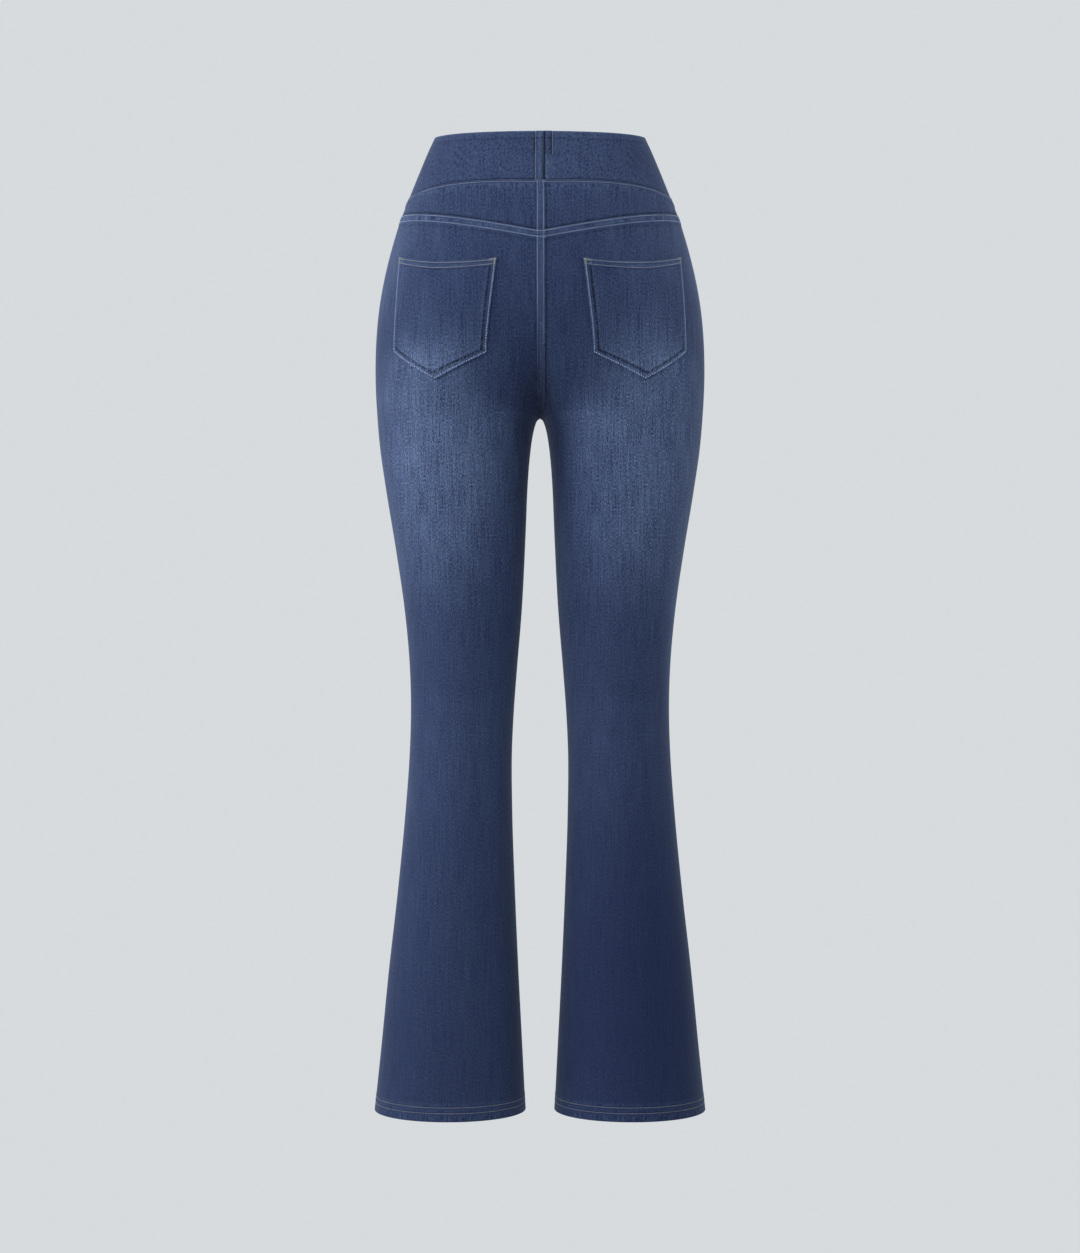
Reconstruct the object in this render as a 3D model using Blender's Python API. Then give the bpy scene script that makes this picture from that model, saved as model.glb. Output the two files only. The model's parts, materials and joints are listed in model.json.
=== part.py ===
"""Bootcut jeans, filled out to their worn form.

The cloth is a thin wall. Each cut piece (leg panels, yokes, waistband pieces and
back pockets) is its own closed solid, 0.3 mm from its neighbours at the seams.

Frame, in metres: +Z up, +Y the way the wearer faces, +X the wearer's right.
The origin is on the wearer's axis, halfway up the waistband.
Heights in the tables are measured up from the hem, along the straight side seam.
"""

from collections import namedtuple

import bmesh
import bpy
import numpy as np

# Driving sizes.
WAIST_LEVEL = 1.030  # the origin's height above the hem, halfway up the waistband
CROTCH = 0.7530  # height of the crotch point, where the four leg panels meet
GAP_ROUNDING = 0.100  # the gap between the legs narrows to its round top over this height
MERGE_HEIGHT = 0.170  # above the crotch the two leg tubes merge into one trunk over this height
GAP_REACH = 0.030  # the rounding moves the cloth this far out from the leg's inner edge
SIDE_SEAM_FORWARD = 0.008  # the side seams lie this far ahead of the widest line

CLOTH = 0.0012  # one layer of stretch denim
BAND_CLOTH = 0.0022  # the waistband is two layers
HEM_CLOTH = 0.0024  # the turned-up hem is two layers
HEM_HEIGHT = 0.022
SEAM = 0.0003  # clear space between neighbouring pieces

LEG_COLUMNS = 14  # cells across one leg panel, from its inner edge to the side seam
YOKE_COLUMNS = 12
BAND_COLUMNS = 12
POCKET_COLUMNS = 8  # cells on each side of the pocket's point
YOKE_ROWS = 4
BAND_ROWS = 5
ARC_SAMPLES = 160
STEP = 0.0002  # the step that surface slopes are measured with

DENIM_COLOUR = (0.045, 0.066, 0.135, 1.0)
DENIM_ROUGHNESS = 0.85
SHARP_EDGE = np.radians(50)  # faces that meet at more than this keep a sharp edge

# One row for each section of the garment, from the hem to just above the waist.
# outer: from the middle to the side.  gap: from the middle to the leg's inner edge,
# before the gap's top is rounded off.  back, front: depth behind and ahead of the
# side line.  square: 2 is an ellipse, and more is squarer.
Section = namedtuple("Section", "height outer gap back front square")
SECTIONS = (
    Section(0.000, 0.1800, 0.0158, 0.0840, 0.0780, 2.00),
    Section(0.064, 0.1733, 0.0190, 0.0775, 0.0725, 2.00),
    Section(0.152, 0.1646, 0.0235, 0.0695, 0.0670, 2.00),
    Section(0.239, 0.1548, 0.0273, 0.0655, 0.0640, 2.00),
    Section(0.326, 0.1464, 0.0302, 0.0625, 0.0620, 2.00),
    Section(0.391, 0.1418, 0.0305, 0.0605, 0.0618, 2.00),
    Section(0.435, 0.1406, 0.0284, 0.0600, 0.0630, 2.00),
    Section(0.479, 0.1417, 0.0251, 0.0612, 0.0652, 2.00),
    Section(0.544, 0.1474, 0.0198, 0.0665, 0.0705, 2.02),
    Section(0.609, 0.1568, 0.0164, 0.0745, 0.0775, 2.05),
    Section(0.675, 0.1676, 0.0140, 0.0845, 0.0860, 2.10),
    Section(0.718, 0.1738, 0.0135, 0.0930, 0.0920, 2.18),
    Section(0.752, 0.1768, 0.0135, 0.1020, 0.0970, 2.26),
    Section(0.806, 0.1788, 0.0135, 0.1185, 0.1050, 2.36),
    Section(0.838, 0.1778, 0.0135, 0.1270, 0.1090, 2.38),
    Section(0.871, 0.1747, 0.0135, 0.1315, 0.1120, 2.36),
    Section(0.904, 0.1690, 0.0135, 0.1295, 0.1130, 2.32),
    Section(0.936, 0.1612, 0.0135, 0.1220, 0.1120, 2.28),
    Section(0.969, 0.1510, 0.0135, 0.1115, 0.1085, 2.24),
    Section(0.993, 0.1416, 0.0135, 0.1030, 0.1045, 2.22),
    Section(1.019, 0.1312, 0.0135, 0.0950, 0.0985, 2.20),
    Section(1.045, 0.1202, 0.0135, 0.0885, 0.0920, 2.20),
    Section(1.059, 0.1136, 0.0135, 0.0855, 0.0885, 2.20),
    Section(1.080, 0.1040, 0.0135, 0.0815, 0.0840, 2.20),
)

# Heights of the seam lines, by the share of the way round from the centre seam to
# side seam.  top: the waistband's upper edge.  band: the seam below it.  yoke: behind
# only, the seam between yoke and back panel.
SeamLine = namedtuple("SeamLine", "share top band yoke", defaults=(None,))
BACK_LINES = (
    SeamLine(0.00, 1.0515, 0.9970, 0.9367),
    SeamLine(0.25, 1.0517, 0.9980, 0.9478),
    SeamLine(0.50, 1.0528, 0.9968, 0.9575),
    SeamLine(0.75, 1.0550, 0.9922, 0.9640),
    SeamLine(1.00, 1.0590, 0.9870, 0.9675),
)
FRONT_LINES = (
    SeamLine(0.00, 1.0440, 0.9790),
    SeamLine(0.25, 1.0450, 0.9794),
    SeamLine(0.50, 1.0490, 0.9810),
    SeamLine(0.75, 1.0550, 0.9835),
    SeamLine(1.00, 1.0590, 0.9870),
)

# The back pocket, in its place on the back panel: distance from the centre seam,
# measured along the cloth, and height.
Corner = namedtuple("Corner", "distance height")
POCKET_TOP_INNER = Corner(0.0450, 0.9117)
POCKET_TOP_OUTER = Corner(0.1685, 0.9204)
POCKET_LOW_INNER = Corner(0.0573, 0.8132)
POCKET_LOW_OUTER = Corner(0.1660, 0.8176)
POCKET_POINT = Corner(0.1190, 0.7859)
POCKET_TOP_SAG = 0.0055  # the pocket's mouth dips this much at its middle
POCKET_MOUTH = 0.009  # height of the turned-down mouth
POCKET_MOUTH_EXTRA = 0.0006  # the mouth stands this much prouder
POCKET_CLEARANCE = 0.0004  # between the pocket and the panel under it
POCKET_ROWS = 12

# Rows of the leg panels, as heights above the hem below the crotch, and above the
# crotch. They crowd where the inseam turns into the rise.
LEG_ROWS = (
    0.0, 0.010, 0.022, 0.024, 0.060, 0.105, 0.155, 0.205, 0.255, 0.305, 0.350, 0.390, 0.430,
    0.470, 0.510, 0.550, 0.590, 0.630, 0.665, 0.695, 0.719, 0.736, 0.7460, 0.7507, 0.7525,
)
RISE_ROWS = (
    0.0, 0.0006, 0.0025, 0.006, 0.011, 0.018, 0.027, 0.038, 0.051, 0.066, 0.083, 0.102,
    0.122,
)
SEAT_ROWS = 5  # further rows from there to the seam above


def smooth(knots, values, at):
    """A smooth curve through the table's values."""
    knots, values = np.asarray(knots, float), np.asarray(values, float)
    slopes = np.gradient(values, knots)
    left = np.clip(np.searchsorted(knots, at) - 1, 0, len(knots) - 2)
    span = knots[left + 1] - knots[left]
    t = (at - knots[left]) / span
    rise = values[left + 1] - values[left]
    bend = (slopes[left] * (1 - t) - slopes[left + 1] * t) * span + rise * (2 * t - 1)
    return values[left] + rise * t + t * (1 - t) * bend


def column(table, name):
    return [getattr(row, name) for row in table]


def tube_at(height):
    """One leg's tube: its centre, half width, back and front depth and squareness.

    Above the crotch the tube reaches past the middle and is cut off there, until it is
    as wide as the whole trunk.
    """
    heights = column(SECTIONS, "height")
    outer, gap, back, front, square = (
        smooth(heights, column(SECTIONS, name), height) for name in Section._fields[1:]
    )
    below = np.clip((CROTCH - height) / GAP_ROUNDING, 0, 1)
    above = np.clip((height - CROTCH) / MERGE_HEIGHT, 0, 1)
    inner = gap * below * (2 - below) - outer * above**2 * (3 - 2 * above)
    inner -= 2 * gap * MERGE_HEIGHT / GAP_ROUNDING * above * (1 - above) ** 2
    return (outer + inner) / 2, (outer - inner) / 2, back, front, square


def on_tube(angle, tube):
    """The point of a tube at an angle: 0 is its outer side, pi its inner side, and
    negative angles are behind."""
    centre, half_width, back, front, square = tube
    across, along = np.cos(angle), np.sin(angle)
    depth = np.where(along < 0, back, front)
    x = centre + half_width * np.sign(across) * np.abs(across) ** (2 / square)
    y = depth * np.sign(along) * np.abs(along) ** (2 / square)
    return x, y


def round_gap(x, height):
    """Moves the leg's inner edge out, so that the gap between the legs has a round top."""
    centre, half_width = tube_at(height)[:2]
    gap = smooth(column(SECTIONS, "height"), column(SECTIONS, "gap"), height)
    below = np.clip((CROTCH - height) / GAP_ROUNDING, 0, 1)
    room = gap * (np.sqrt(below * (2 - below)) - below * (2 - below))
    nearness = np.clip(1 - (x - centre + half_width) / GAP_REACH, 0, 1)
    return x + room * nearness**2


def fullness(x, y, height):
    """1 on the cloth, less inside it and more outside it."""
    centre, half_width, back, front, square = tube_at(height)
    depth = np.where(y < 0, back, front)
    return np.abs((x - centre) / half_width) ** square + np.abs(y / depth) ** square


def outward(x, y, height, middle):
    """The cloth's outward direction at these points."""
    slope = np.stack(
        [
            fullness(x + STEP, y, height) - fullness(x - STEP, y, height),
            fullness(x, y + STEP, height) - fullness(x, y - STEP, height),
            fullness(x, y, height + STEP) - fullness(x, y, height - STEP),
        ],
        axis=-1,
    )
    slope[..., 0] = np.where(x <= middle, 0, slope[..., 0])
    return slope / np.linalg.norm(slope, axis=-1, keepdims=True)


def section_lines(behind, height, middle):
    """Angles and lengths along the section at each height, from a panel's inner edge
    (the inseam, or above the crotch the line at x = middle) to the side seam."""
    height = height[..., None]
    centre, half_width, back, front, square = tube = tube_at(height)
    reach = np.clip((centre - middle) / half_width, -1, 1)
    inner_angle = np.pi - np.arccos(np.sign(reach) * np.abs(reach) ** (square / 2))
    side_angle = np.arcsin((SIDE_SEAM_FORWARD / front) ** (square / 2))
    start = -inner_angle if behind else inner_angle
    angles = start + (side_angle - start) * np.linspace(0, 1, ARC_SAMPLES)
    x, y = on_tube(angles, tube)
    steps = np.hypot(np.diff(round_gap(x, height)), np.diff(y))
    lengths = np.concatenate([0 * height, np.cumsum(steps, axis=-1)], axis=-1)
    return angles, lengths


def cloth_at(behind, height, share=None, distance=None, middle=SEAM / 2):
    """Points of the right half's cloth, and the outward directions there. The place
    of each along its section is a share of the way from the inner edge to the side
    seam, or a distance from the inner edge."""
    angles, lengths = section_lines(behind, height, middle)
    tube = tube_at(height)
    if distance is None:
        at_inseam = tube[0] - tube[1] > middle
        near_end = np.where(at_inseam, SEAM / 2, 0)
        distance = near_end + share * (lengths[..., -1] - SEAM / 2 - near_end)
    left = np.clip((lengths <= distance[..., None]).sum(axis=-1) - 1, 0, ARC_SAMPLES - 2)
    (length, next_length), (angle, next_angle) = (
        [np.take_along_axis(line, (left + k)[..., None], axis=-1)[..., 0] for k in (0, 1)]
        for line in (lengths, angles)
    )
    t = np.clip((distance - length) / (next_length - length), 0, 1)
    x, y = on_tube(angle + t * (next_angle - angle), tube)
    x = np.maximum(x, middle)
    directions = outward(x, y, height, middle)
    return np.stack([round_gap(x, height), y, height - WAIST_LEVEL], axis=-1), directions


def line_height(behind, name, shares):
    table = BACK_LINES if behind else FRONT_LINES
    return smooth(column(table, "share"), column(table, name), np.asarray(shares))


def denim():
    material = bpy.data.materials.get("denim")
    if material is None:
        material = bpy.data.materials.new("denim")
        material.use_nodes = True
        shader = material.node_tree.nodes["Principled BSDF"]
        shader.inputs["Base Color"].default_value = DENIM_COLOUR
        shader.inputs["Roughness"].default_value = DENIM_ROUGHNESS
        shader.inputs["Metallic"].default_value = 0.0
    return material


def cloth_wall(name, outer, inner, garment):
    """A closed wall between two grids of points, as one object."""
    rows, columns = outer.shape[:2]
    mesh = bpy.data.meshes.new(name)
    build = bmesh.new()
    sides = [
        [[build.verts.new(point) for point in row] for row in grid]
        for grid in (outer, inner)
    ]
    for j in range(rows - 1):
        for i in range(columns - 1):
            for side in sides:
                low_left, low_right = side[j][i], side[j][i + 1]
                high_left, high_right = side[j + 1][i], side[j + 1][i + 1]
                build.faces.new((low_left, low_right, high_right))
                build.faces.new((low_left, high_right, high_left))
    rim = [(0, i) for i in range(columns)]
    rim += [(j, columns - 1) for j in range(1, rows)]
    rim += [(rows - 1, i) for i in range(columns - 2, -1, -1)]
    rim += [(j, 0) for j in range(rows - 2, 0, -1)]
    for (j, i), (next_j, next_i) in zip(rim, rim[1:] + rim[:1]):
        build.faces.new(
            (
                sides[0][j][i],
                sides[0][next_j][next_i],
                sides[1][next_j][next_i],
                sides[1][j][i],
            )
        )
    bmesh.ops.recalc_face_normals(build, faces=build.faces)
    build.to_mesh(mesh)
    build.free()
    mesh.shade_smooth()
    mesh.set_sharp_from_angle(angle=SHARP_EDGE)
    mesh.materials.append(denim())
    piece = bpy.data.objects.new(name, mesh)
    garment.objects.link(piece)
    return piece


def both_sides(name, outer, inner, garment):
    """The right-hand piece, and its mirror image as the left-hand piece."""
    mirrored = np.array([-1.0, 1.0, 1.0])
    cloth_wall(name + "_right", outer, inner, garment)
    cloth_wall(name + "_left", outer * mirrored, inner * mirrored, garment)


def leg_panel(behind, garment):
    """One back or front panel, from the hem to the seam below the yoke or waistband."""
    shares = np.linspace(0, 1, LEG_COLUMNS + 1)
    top = line_height(behind, "yoke" if behind else "band", shares) - SEAM / 2
    level = [np.full(len(shares), h) for h in LEG_ROWS]
    level += [np.full(len(shares), CROTCH + h) for h in RISE_ROWS]
    bend = np.linspace(0, 1, SEAT_ROWS + 1)[1:, None]
    heights = np.concatenate([level, level[-1] + (top - level[-1]) * bend])
    outer, normals = cloth_at(behind, heights, share=shares)
    thickness = np.where(heights <= HEM_HEIGHT, HEM_CLOTH, CLOTH)
    both_sides(
        "back" if behind else "front",
        outer,
        outer - normals * thickness[..., None],
        garment,
    )


def band_heights(behind, low, high, shares, rows):
    """Rows of heights between two seam lines, clear of both seams."""
    lowest = line_height(behind, low, shares) + SEAM / 2
    highest = line_height(behind, high, shares) - SEAM / 2
    return lowest + (highest - lowest) * np.linspace(0, 1, rows + 1)[:, None]


def yoke(garment):
    shares = np.linspace(0, 1, YOKE_COLUMNS + 1)
    heights = band_heights(True, "yoke", "band", shares, YOKE_ROWS)
    outer, normals = cloth_at(True, heights, share=shares)
    both_sides("yoke", outer, outer - normals * CLOTH, garment)


def waistband_back(garment):
    shares = np.linspace(0, 1, BAND_COLUMNS + 1)
    heights = band_heights(True, "band", "top", shares, BAND_ROWS)
    outer, normals = cloth_at(True, heights, share=shares)
    both_sides("waistband_back", outer, outer - normals * BAND_CLOTH, garment)


def waistband_front(garment):
    """The front waistband, one piece from side seam to side seam."""
    shares = np.linspace(0, 1, BAND_COLUMNS + 1)
    heights = band_heights(False, "band", "top", shares, BAND_ROWS)
    outer, normals = cloth_at(False, heights, share=shares, middle=0.0)
    inner = outer - normals * BAND_CLOTH
    whole = [
        np.concatenate([(grid * [-1, 1, 1])[:, :0:-1], grid], axis=1)
        for grid in (outer, inner)
    ]
    cloth_wall("waistband_front", whole[0], whole[1], garment)


def pocket(garment):
    """The patch pocket: the back panel's own surface, moved out."""
    point_share = (POCKET_POINT.distance - POCKET_LOW_INNER.distance) / (
        POCKET_LOW_OUTER.distance - POCKET_LOW_INNER.distance
    )
    across = np.concatenate(
        [
            np.linspace(0, point_share, POCKET_COLUMNS + 1),
            np.linspace(point_share, 1, POCKET_COLUMNS + 1)[1:],
        ]
    )
    low = np.interp(
        across,
        [0, point_share, 1],
        [POCKET_LOW_INNER.height, POCKET_POINT.height, POCKET_LOW_OUTER.height],
    )
    high = np.interp(across, [0, 1], [POCKET_TOP_INNER.height, POCKET_TOP_OUTER.height])
    high = high - POCKET_TOP_SAG * 4 * across * (1 - across)
    side_height = POCKET_TOP_INNER.height - POCKET_LOW_INNER.height
    mouth = POCKET_MOUTH / side_height
    down = np.concatenate([[0, mouth], np.linspace(mouth, 1, POCKET_ROWS)[1:]])
    t = down[::-1, None]
    height = high + (low - high) * t
    inner_edge = np.interp(
        height,
        [POCKET_LOW_INNER.height, POCKET_TOP_INNER.height],
        [POCKET_LOW_INNER.distance, POCKET_TOP_INNER.distance],
    )
    outer_edge = np.interp(
        height,
        [POCKET_LOW_OUTER.height, POCKET_TOP_OUTER.height],
        [POCKET_LOW_OUTER.distance, POCKET_TOP_OUTER.distance],
    )
    distance = inner_edge + (outer_edge - inner_edge) * across
    points, normals = cloth_at(True, height, distance=distance)
    thickness = (CLOTH + np.where(t <= mouth, POCKET_MOUTH_EXTRA, 0))[..., None]
    inner = points + normals * POCKET_CLEARANCE
    both_sides("pocket", inner + normals * thickness, inner, garment)


def main():
    for obj in list(bpy.data.objects):
        bpy.data.objects.remove(obj)
    garment = bpy.data.collections.new("bootcut_jeans")
    bpy.context.scene.collection.children.link(garment)
    leg_panel(True, garment)
    leg_panel(False, garment)
    yoke(garment)
    waistband_back(garment)
    waistband_front(garment)
    pocket(garment)


if __name__ == "__main__":
    main()
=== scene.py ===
"""The look of the bootcut jeans: cloth shells with raised seams and hems, sewn rows and
pale studio, built around the fixed frame.

Lengths are in metres, and those of cloth and sewing in millimetres. +Z is up, +Y the
way the wearer faces, +X the wearer's right. Heights are measured up from the hem.
"""

import json
from collections import namedtuple

import bmesh
import bpy
import numpy as np
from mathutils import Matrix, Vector

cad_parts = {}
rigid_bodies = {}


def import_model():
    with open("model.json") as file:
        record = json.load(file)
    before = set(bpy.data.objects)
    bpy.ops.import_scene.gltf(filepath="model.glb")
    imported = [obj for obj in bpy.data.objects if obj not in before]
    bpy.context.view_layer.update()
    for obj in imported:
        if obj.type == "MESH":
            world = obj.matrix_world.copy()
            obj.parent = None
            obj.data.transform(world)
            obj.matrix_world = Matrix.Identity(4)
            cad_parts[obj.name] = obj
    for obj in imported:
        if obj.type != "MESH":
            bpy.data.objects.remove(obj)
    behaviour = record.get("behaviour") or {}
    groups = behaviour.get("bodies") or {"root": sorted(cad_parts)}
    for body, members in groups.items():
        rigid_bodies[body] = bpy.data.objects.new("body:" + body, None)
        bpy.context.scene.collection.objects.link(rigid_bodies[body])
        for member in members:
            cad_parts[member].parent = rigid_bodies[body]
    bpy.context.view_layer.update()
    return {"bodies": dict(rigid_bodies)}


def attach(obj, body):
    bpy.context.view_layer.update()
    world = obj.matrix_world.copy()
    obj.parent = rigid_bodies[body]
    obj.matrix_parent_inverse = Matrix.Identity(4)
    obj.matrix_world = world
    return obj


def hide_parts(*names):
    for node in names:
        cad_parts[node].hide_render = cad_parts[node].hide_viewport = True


bl_info = {
    "name": "Bootcut jeans",
    "version": (1, 0, 0),
    "blender": (4, 5, 0),
    "location": "View3D > Sidebar > Jeans",
    "description": "Denim panels, felled seams, pockets and sewn rows of pull-on bootcut jeans",
    "category": "Object",
}

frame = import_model()
BODY = next(iter(frame["bodies"]))

MM = 0.001
SIDES = (-1, 1)  # left and right

# The garment's form, as the frame's own.
WAIST_LEVEL = 1.030  # the origin's height above the hem, halfway up the waistband
CROTCH = 0.7530  # height of the crotch point, where the four leg panels meet
GAP_ROUNDING = 0.100  # the gap between the legs narrows to its round top over this height
MERGE_HEIGHT = 0.170  # above the crotch the two leg tubes merge into one trunk over this height
GAP_REACH = 0.030  # the rounding moves the cloth this far out from the leg's inner edge
SIDE_SEAM_FORWARD = 0.008  # the side seams lie this far ahead of the widest line
ARC_SAMPLES = 160
STEP = 0.0002  # the step that surface slopes are measured with
GRAIN_LINE = 0.092  # the warp runs straight down the middle of each leg, this far out

Section = namedtuple("Section", "height outer gap back front square")
SECTIONS = (
    Section(0.000, 0.1800, 0.0158, 0.0840, 0.0780, 2.00),
    Section(0.064, 0.1733, 0.0190, 0.0775, 0.0725, 2.00),
    Section(0.152, 0.1646, 0.0235, 0.0695, 0.0670, 2.00),
    Section(0.239, 0.1548, 0.0273, 0.0655, 0.0640, 2.00),
    Section(0.326, 0.1464, 0.0302, 0.0625, 0.0620, 2.00),
    Section(0.391, 0.1418, 0.0305, 0.0605, 0.0618, 2.00),
    Section(0.435, 0.1406, 0.0284, 0.0600, 0.0630, 2.00),
    Section(0.479, 0.1417, 0.0251, 0.0612, 0.0652, 2.00),
    Section(0.544, 0.1474, 0.0198, 0.0665, 0.0705, 2.02),
    Section(0.609, 0.1568, 0.0164, 0.0745, 0.0775, 2.05),
    Section(0.675, 0.1676, 0.0140, 0.0845, 0.0860, 2.10),
    Section(0.718, 0.1738, 0.0135, 0.0930, 0.0920, 2.18),
    Section(0.752, 0.1768, 0.0135, 0.1020, 0.0970, 2.26),
    Section(0.806, 0.1788, 0.0135, 0.1185, 0.1050, 2.36),
    Section(0.838, 0.1778, 0.0135, 0.1270, 0.1090, 2.38),
    Section(0.871, 0.1747, 0.0135, 0.1315, 0.1120, 2.36),
    Section(0.904, 0.1690, 0.0135, 0.1295, 0.1130, 2.32),
    Section(0.936, 0.1612, 0.0135, 0.1220, 0.1120, 2.28),
    Section(0.969, 0.1510, 0.0135, 0.1115, 0.1085, 2.24),
    Section(0.993, 0.1416, 0.0135, 0.1030, 0.1045, 2.22),
    Section(1.019, 0.1312, 0.0135, 0.0950, 0.0985, 2.20),
    Section(1.045, 0.1202, 0.0135, 0.0885, 0.0920, 2.20),
    Section(1.059, 0.1136, 0.0135, 0.0855, 0.0885, 2.20),
    Section(1.080, 0.1040, 0.0135, 0.0815, 0.0840, 2.20),
)

SeamLine = namedtuple("SeamLine", "share top band yoke", defaults=(None,))
BACK_LINES = (
    SeamLine(0.00, 1.0515, 0.9970, 0.9367),
    SeamLine(0.25, 1.0517, 0.9980, 0.9478),
    SeamLine(0.50, 1.0528, 0.9968, 0.9575),
    SeamLine(0.75, 1.0550, 0.9922, 0.9640),
    SeamLine(1.00, 1.0590, 0.9870, 0.9675),
)
FRONT_LINES = (
    SeamLine(0.00, 1.0440, 0.9790),
    SeamLine(0.25, 1.0450, 0.9794),
    SeamLine(0.50, 1.0490, 0.9810),
    SeamLine(0.75, 1.0550, 0.9835),
    SeamLine(1.00, 1.0590, 0.9870),
)

Corner = namedtuple("Corner", "distance height")
POCKET_TOP_INNER = Corner(0.0450, 0.9117)
POCKET_TOP_OUTER = Corner(0.1685, 0.9204)
POCKET_LOW_INNER = Corner(0.0573, 0.8132)
POCKET_LOW_OUTER = Corner(0.1660, 0.8176)
POCKET_POINT = Corner(0.1190, 0.7859)
POCKET_TOP_SAG = 0.0055

# Cloth and sewing, in millimetres.
CLOTH = 1.2
BAND_CLOTH = 2.2
HEM_CLOTH = 2.4
HEM_TOP = 19  # the turned-up hem ends here, on the inside
LAP = 1.0  # height of a lapped seam over the plain cloth
LAP_CLEAR = 0.15  # the lap's underside over the cloth below
POCKET_CLEAR = 0.4  # the pocket's underside over the panel
YOKE_LAP = 4.7  # the back panel reaches this far over the yoke
CENTRE_LAP = 5.7  # the left pieces reach this far over the right ones
BAND_SEAM_X = 3.8  # the waistband's centre seam lies this far to the right
EDGE_GAP = 0.03
CASING = 8.4  # the elastic casing's edge, below the waistband's top
BAND_STRIP = 27  # the right strip beside the waistband's centre seam ends this far down
HEM_ROWS = (9.0, 15.0)
YOKE_ROWS = (3.1, -3.2)
CENTRE_ROWS = (2.8, -3.4)
BAND_ROW = 2.4
POCKET_ROW = 1.7
POCKET_INNER_ROW = 7.4
POCKET_MOUTH_ROWS = (2.2, 7.4)
POCKET_WIDTH = 116  # about its middle
POCKET_HEIGHT = 115
POCKET_SLANT = 0.92  # its bottom edges slant, so they lie nearer by this than straight down
ROW_LIFT = 0.05  # a sewn row's middle over the cloth


def curve(table, name, at):
    """A smooth curve through one column of a table, over its first column."""
    columns = (table[0]._fields[0], name)
    knots, values = (np.array([getattr(row, key) for row in table]) for key in columns)
    slopes = np.gradient(values, knots)
    left = np.clip(np.searchsorted(knots, at) - 1, 0, len(knots) - 2)
    span = knots[left + 1] - knots[left]
    t = (at - knots[left]) / span
    rise = values[left + 1] - values[left]
    bend = (slopes[left] * (1 - t) - slopes[left + 1] * t) * span + rise * (2 * t - 1)
    return values[left] + rise * t + t * (1 - t) * bend


def tube_at(height):
    """One leg's tube: its centre, half width, back and front depth and squareness."""
    outer, gap, back, front, square = (
        curve(SECTIONS, name, height) for name in Section._fields[1:]
    )
    below = np.clip((CROTCH - height) / GAP_ROUNDING, 0, 1)
    above = np.clip((height - CROTCH) / MERGE_HEIGHT, 0, 1)
    inner = gap * below * (2 - below) - outer * above**2 * (3 - 2 * above)
    inner -= 2 * gap * MERGE_HEIGHT / GAP_ROUNDING * above * (1 - above) ** 2
    return (outer + inner) / 2, (outer - inner) / 2, back, front, square


def on_tube(angle, tube):
    """The point of a tube at an angle: 0 is its outer side, pi its inner side, and
    negative angles are behind."""
    centre, half_width, back, front, square = tube
    across, along = np.cos(angle), np.sin(angle)
    depth = np.where(along < 0, back, front)
    x = centre + half_width * np.sign(across) * np.abs(across) ** (2 / square)
    y = depth * np.sign(along) * np.abs(along) ** (2 / square)
    return x, y


def round_gap(x, height):
    """Moves the leg's inner edge out, so that the gap between the legs has a round top."""
    centre, half_width = tube_at(height)[:2]
    gap = curve(SECTIONS, "gap", height)
    below = np.clip((CROTCH - height) / GAP_ROUNDING, 0, 1)
    room = gap * (np.sqrt(below * (2 - below)) - below * (2 - below))
    nearness = np.clip(1 - (x - centre + half_width) / GAP_REACH, 0, 1)
    return x + room * nearness**2


def fullness(x, y, height):
    """1 on the cloth, less inside it and more outside it."""
    centre, half_width, back, front, square = tube_at(height)
    depth = np.where(y < 0, back, front)
    return np.abs((x - centre) / half_width) ** square + np.abs(y / depth) ** square


def outward(x, y, height):
    """The cloth's outward direction at these points."""
    slope = np.stack(
        [
            fullness(x + STEP, y, height) - fullness(x - STEP, y, height),
            fullness(x, y + STEP, height) - fullness(x, y - STEP, height),
            fullness(x, y, height + STEP) - fullness(x, y, height - STEP),
        ],
        axis=-1,
    )
    slope[..., 0] = np.where(x <= 0, 0, slope[..., 0])
    return slope / np.linalg.norm(slope, axis=-1, keepdims=True)


def section_lines(behind, height):
    """Angles and lengths along the section at each height, from a panel's inner edge
    (the inseam, or above the crotch the middle) to the side seam."""
    height = np.asarray(height, float)[..., None]
    centre, half_width, back, front, square = tube = tube_at(height)
    reach = np.clip(centre / half_width, -1, 1)
    inner_angle = np.pi - np.arccos(np.sign(reach) * np.abs(reach) ** (square / 2))
    side_angle = np.arcsin((SIDE_SEAM_FORWARD / front) ** (square / 2))
    start = -inner_angle if behind else inner_angle
    angles = start + (side_angle - start) * np.linspace(0, 1, ARC_SAMPLES)
    x, y = on_tube(angles, tube)
    steps = np.hypot(np.diff(round_gap(x, height)), np.diff(y))
    lengths = np.concatenate([0 * height, np.cumsum(steps, axis=-1)], axis=-1)
    return angles, lengths


def read_off(knots, values, at):
    """The value at a place along each line of samples."""
    at = np.asarray(at)[..., None]
    left = np.clip((knots <= at).sum(axis=-1) - 1, 0, ARC_SAMPLES - 2)[..., None]
    (low, high), (value, next_value) = (
        [np.take_along_axis(line, left + k, axis=-1)[..., 0] for k in (0, 1)]
        for line in (knots, values)
    )
    return value + np.clip((at[..., 0] - low) / (high - low), 0, 1) * (next_value - value)


def length_to(behind, height, x):
    """Length along the section, from a panel's inner edge to a distance x out."""
    angles, lengths = section_lines(behind, height)
    height = np.asarray(height, float)[..., None]
    out = round_gap(on_tube(angles, tube_at(height))[0], height)
    return read_off(out, lengths, x)


def width_at(behind, height):
    """Length along the section, from a panel's inner edge to its side seam."""
    return section_lines(behind, height)[1][..., -1]


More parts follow.
